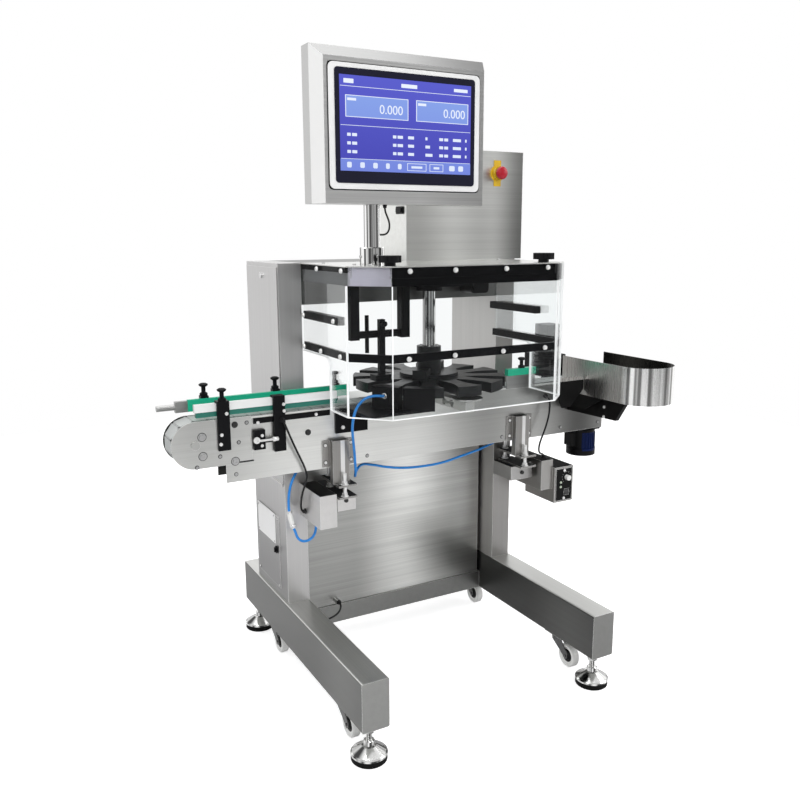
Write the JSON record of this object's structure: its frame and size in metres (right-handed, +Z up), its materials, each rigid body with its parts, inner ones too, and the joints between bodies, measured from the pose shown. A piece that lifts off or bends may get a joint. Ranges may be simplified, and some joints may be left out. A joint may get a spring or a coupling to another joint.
{
  "type": "star-wheel checkweigher",
  "caption": "Stainless checkweigher stand with a slat-chain lane, a star wheel under a clear guard hood, a pole display and a reject bin.",
  "frame": {"origin": "middle of the floor area under the machine, at floor level", "axes": "+X along the lane towards the reject bin, +Y from the operator side to the back, +Z up"},
  "size_m": [1.531, 0.967, 1.8323],
  "materials": {
    "stainless": "brushed",
    "polished_plate": "fine brushed",
    "chrome": "polished",
    "foot_metal": "polished, rubber sole",
    "zinc": "bright zinc plated",
    "wheel_nylon": "satin",
    "slat_plastic": "satin",
    "white_plastic": "satin",
    "green_plastic": "satin",
    "black_plastic": "satin",
    "black_paint": "satin",
    "dark_steel": "oiled",
    "rail_aluminium": "anodised",
    "motor_blue": "gloss",
    "clear_acrylic": "polished",
    "screen_glass": "gloss",
    "estop_yellow": "satin",
    "estop_red": "gloss",
    "hose_blue": "gloss",
    "cable_black": "satin"
  },
  "bodies": {
    "stand": {"base_frame": "stainless", "tower_left": "stainless", "tower_right": "stainless", "bridge_box": "stainless", "centre_cabinet": "stainless", "upper_cabinet": "stainless", "conveyor_frame": "polished_plate", "wear_strips": "white_plastic", "slat_chain": "slat_plastic", "gearmotor": "motor_blue", "guide_rails": "rail_aluminium", "rail_strips": "green_plastic", "rail_brackets": "black_paint", "support_arms": "stainless", "support_brackets": "stainless", "control_box": "stainless", "guard_panels": "clear_acrylic", "guard_bars": "black_paint", "guard_roof": "polished_plate", "star_drive": "black_paint", "star_guides": "black_paint", "sensor_bridge": "black_paint", "load_cell": "polished_plate", "weigh_platform": "polished_plate", "display_pole": "chrome", "estop_base": "estop_yellow", "reject_cylinder": "black_paint", "reject_bin": "stainless", "air_tube": "hose_blue", "air_loop": "hose_blue", "sensor_cable": "cable_black", "drive_cable": "cable_black", "screen_cable": "cable_black", "gland_cable": "cable_black"},
    "caster_fl": {"caster_fork_fl": "zinc"},
    "wheel_fl": {"caster_wheel_fl": "wheel_nylon"},
    "caster_fr": {"caster_fork_fr": "zinc"},
    "wheel_fr": {"caster_wheel_fr": "wheel_nylon"},
    "caster_rl": {"caster_fork_rl": "zinc"},
    "wheel_rl": {"caster_wheel_rl": "wheel_nylon"},
    "caster_rr": {"caster_fork_rr": "zinc"},
    "wheel_rr": {"caster_wheel_rr": "wheel_nylon"},
    "foot_fl": {"foot_fl": "foot_metal"},
    "foot_fr": {"foot_fr": "foot_metal"},
    "foot_rl": {"foot_rl": "foot_metal"},
    "foot_rr": {"foot_rr": "foot_metal"},
    "drive_shaft": {"drive_sprocket": "dark_steel"},
    "tail_shaft": {"tail_wheel": "dark_steel"},
    "star": {"star_shaft": "chrome", "star_wheel": "black_plastic"},
    "roof_knob_left": {"roof_knob_left": "black_plastic"},
    "roof_knob_right": {"roof_knob_right": "black_plastic"},
    "display": {"display_housing": "stainless", "display_screen": "screen_glass"},
    "estop": {"estop_button": "estop_red"},
    "speed_dial": {"speed_knob": "white_plastic"},
    "rocker": {"power_rocker": "black_plastic"},
    "cover": {"tower_cover": "stainless"},
    "lock": {"cover_lock": "chrome"},
    "pusher": {"reject_pusher": "chrome"}
  },
  "joints": [
    {"name": "swivel_fl", "type": "hinge", "parent": "stand", "child": "caster_fl", "pos_m": [-0.3675, -0.2815, 0.101], "axis": [0, 0, 1], "continuous": true},
    {"name": "roll_fl", "type": "hinge", "parent": "caster_fl", "child": "wheel_fl", "pos_m": [-0.3675, -0.3265, 0.044], "axis": [1, 0, 0], "continuous": true},
    {"name": "swivel_fr", "type": "hinge", "parent": "stand", "child": "caster_fr", "pos_m": [0.4045, -0.2815, 0.101], "axis": [0, 0, 1], "continuous": true},
    {"name": "roll_fr", "type": "hinge", "parent": "caster_fr", "child": "wheel_fr", "pos_m": [0.4045, -0.3265, 0.044], "axis": [1, 0, 0], "continuous": true},
    {"name": "swivel_rl", "type": "hinge", "parent": "stand", "child": "caster_rl", "pos_m": [-0.3675, 0.2585, 0.101], "axis": [0, 0, 1], "continuous": true},
    {"name": "roll_rl", "type": "hinge", "parent": "caster_rl", "child": "wheel_rl", "pos_m": [-0.3675, 0.2135, 0.044], "axis": [1, 0, 0], "continuous": true},
    {"name": "swivel_rr", "type": "hinge", "parent": "stand", "child": "caster_rr", "pos_m": [0.4045, 0.2585, 0.101], "axis": [0, 0, 1], "continuous": true},
    {"name": "roll_rr", "type": "hinge", "parent": "caster_rr", "child": "wheel_rr", "pos_m": [0.4045, 0.2135, 0.044], "axis": [1, 0, 0], "continuous": true},
    {"name": "level_fl", "type": "slide", "parent": "stand", "child": "foot_fl", "axis": [0, 0, 1], "range_m": [-0.03, 0]},
    {"name": "level_fr", "type": "slide", "parent": "stand", "child": "foot_fr", "axis": [0, 0, 1], "range_m": [-0.03, 0]},
    {"name": "level_rl", "type": "slide", "parent": "stand", "child": "foot_rl", "axis": [0, 0, 1], "range_m": [-0.03, 0]},
    {"name": "level_rr", "type": "slide", "parent": "stand", "child": "foot_rr", "axis": [0, 0, 1], "range_m": [-0.03, 0]},
    {"name": "chain_drive", "type": "hinge", "parent": "stand", "child": "drive_shaft", "pos_m": [0.6871, 0.0055, 0.812], "axis": [0, 1, 0], "continuous": true},
    {"name": "chain_tail", "type": "hinge", "parent": "stand", "child": "tail_shaft", "pos_m": [-0.6845, 0.0055, 0.812], "axis": [0, 1, 0], "continuous": true},
    {"name": "star_turn", "type": "hinge", "parent": "stand", "child": "star", "pos_m": [0.0755, 0.0055, 1.206], "axis": [0, 0, 1], "continuous": true},
    {"name": "roof_clamp_left", "type": "hinge", "parent": "stand", "child": "roof_knob_left", "pos_m": [-0.2185, -0.2905, 1.29], "axis": [0, 0, 1], "continuous": true},
    {"name": "roof_clamp_right", "type": "hinge", "parent": "stand", "child": "roof_knob_right", "pos_m": [0.2755, -0.2995, 1.29], "axis": [0, 0, 1], "continuous": true},
    {"name": "display_swivel", "type": "hinge", "parent": "stand", "child": "display", "pos_m": [-0.2175, -0.1865, 1.447], "axis": [0, 0, 1], "range_deg": [-35, 35]},
    {"name": "estop_press", "type": "slide", "parent": "stand", "child": "estop", "axis": [0, 1, 0], "range_m": [0, 0.004], "stiffness_N_per_m": 2000},
    {"name": "speed_turn", "type": "hinge", "parent": "stand", "child": "speed_dial", "pos_m": [0.5625, -0.0965, 0.554], "axis": [0, 1, 0], "range_deg": [-140, 140]},
    {"name": "power_tilt", "type": "hinge", "parent": "stand", "child": "rocker", "pos_m": [0.5645, -0.0965, 0.502], "axis": [1, 0, 0], "range_deg": [0, 14]},
    {"name": "cover_tilt", "type": "hinge", "parent": "stand", "child": "cover", "pos_m": [-0.4028, 0.1915, 0.63], "axis": [0, -1, 0], "range_deg": [0, 90]},
    {"name": "lock_turn", "type": "hinge", "parent": "cover", "child": "lock", "pos_m": [-0.40005, 0.1875, 1.252], "axis": [1, 0, 0], "range_deg": [0, 90]},
    {"name": "reject_stroke", "type": "slide", "parent": "stand", "child": "pusher", "axis": [0, -1, 0], "range_m": [0, 0.078]}
  ],
  "couplings": [
    {"joint": "chain_tail", "follows": "chain_drive", "ratio": 1}
  ]
}
